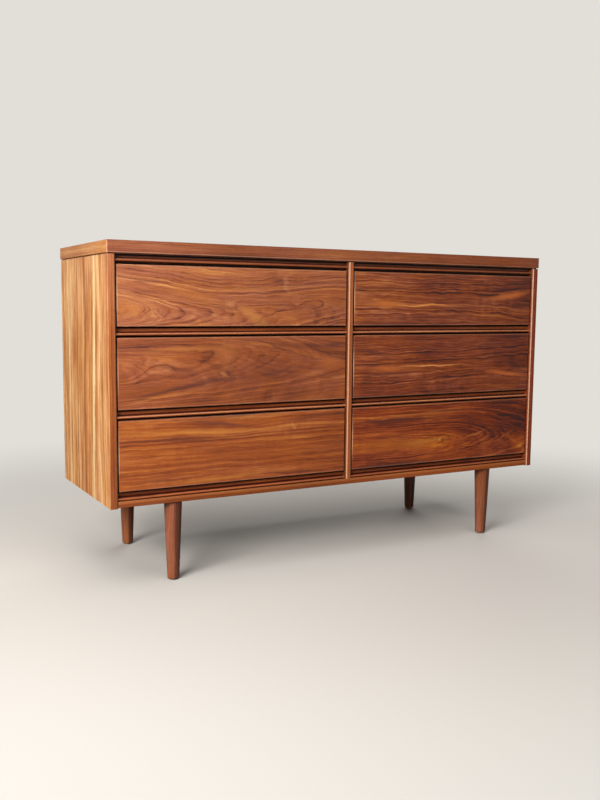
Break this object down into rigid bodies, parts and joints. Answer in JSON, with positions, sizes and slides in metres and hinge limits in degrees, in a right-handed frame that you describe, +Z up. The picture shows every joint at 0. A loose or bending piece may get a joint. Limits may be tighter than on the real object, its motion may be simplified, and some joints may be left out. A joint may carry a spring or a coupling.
{
  "type": "dresser",
  "caption": "Low wide walnut dresser on tapered round legs, with flush drawers in two columns that pull out by finger coves in the rails between them.",
  "frame": {"origin": "on the floor, under the middle of the top", "axes": "+X along the front to the right of someone facing it, +Y from front to back, +Z up"},
  "size_m": [1.32, 0.428, 0.826],
  "materials": {
    "walnut": "oiled walnut, satin",
    "poplar": "planed and left bare",
    "plywood": "sanded plywood",
    "zinc_steel": "zinc plated",
    "brass": "turned, dull"
  },
  "bodies": {
    "case": {"top_slab": "walnut", "left_side_panel": "walnut", "right_side_panel": "walnut", "center_partition": "walnut", "center_stile": "walnut", "base_board": "walnut", "back_panel": "plywood", "top_rails": "walnut", "upper_rails": "walnut", "lower_rails": "walnut", "bottom_rails": "walnut", "rear_rails": "poplar", "drawer_runners": "poplar", "center_tracks": "poplar", "stop_blocks": "poplar", "leg_front_left": "walnut", "leg_front_right": "walnut", "leg_back_left": "walnut", "leg_back_right": "walnut", "leg_inserts": "brass", "leg_bolts": "zinc_steel", "foot_glides": "zinc_steel", "top_screws": "zinc_steel", "back_screws": "zinc_steel"},
    "lower_left_drawer": {"lower_left_drawer_front": "walnut", "lower_left_drawer_left_side": "poplar", "lower_left_drawer_right_side": "poplar", "lower_left_drawer_back": "poplar", "lower_left_drawer_bottom": "plywood", "lower_left_drawer_guide": "poplar"},
    "lower_right_drawer": {"lower_right_drawer_front": "walnut", "lower_right_drawer_left_side": "poplar", "lower_right_drawer_right_side": "poplar", "lower_right_drawer_back": "poplar", "lower_right_drawer_bottom": "plywood", "lower_right_drawer_guide": "poplar"},
    "middle_left_drawer": {"middle_left_drawer_front": "walnut", "middle_left_drawer_left_side": "poplar", "middle_left_drawer_right_side": "poplar", "middle_left_drawer_back": "poplar", "middle_left_drawer_bottom": "plywood", "middle_left_drawer_guide": "poplar"},
    "middle_right_drawer": {"middle_right_drawer_front": "walnut", "middle_right_drawer_left_side": "poplar", "middle_right_drawer_right_side": "poplar", "middle_right_drawer_back": "poplar", "middle_right_drawer_bottom": "plywood", "middle_right_drawer_guide": "poplar"},
    "upper_left_drawer": {"upper_left_drawer_front": "walnut", "upper_left_drawer_left_side": "poplar", "upper_left_drawer_right_side": "poplar", "upper_left_drawer_back": "poplar", "upper_left_drawer_bottom": "plywood", "upper_left_drawer_guide": "poplar"},
    "upper_right_drawer": {"upper_right_drawer_front": "walnut", "upper_right_drawer_left_side": "poplar", "upper_right_drawer_right_side": "poplar", "upper_right_drawer_back": "poplar", "upper_right_drawer_bottom": "plywood", "upper_right_drawer_guide": "poplar"}
  },
  "joints": [
    {"name": "lower_left_drawer_slide", "type": "slide", "parent": "case", "child": "lower_left_drawer", "axis": [0, -1, 0], "range_m": [0, 0.3]},
    {"name": "lower_right_drawer_slide", "type": "slide", "parent": "case", "child": "lower_right_drawer", "axis": [0, -1, 0], "range_m": [0, 0.3]},
    {"name": "middle_left_drawer_slide", "type": "slide", "parent": "case", "child": "middle_left_drawer", "axis": [0, -1, 0], "range_m": [0, 0.3]},
    {"name": "middle_right_drawer_slide", "type": "slide", "parent": "case", "child": "middle_right_drawer", "axis": [0, -1, 0], "range_m": [0, 0.3]},
    {"name": "upper_left_drawer_slide", "type": "slide", "parent": "case", "child": "upper_left_drawer", "axis": [0, -1, 0], "range_m": [0, 0.3]},
    {"name": "upper_right_drawer_slide", "type": "slide", "parent": "case", "child": "upper_right_drawer", "axis": [0, -1, 0], "range_m": [0, 0.3]}
  ]
}
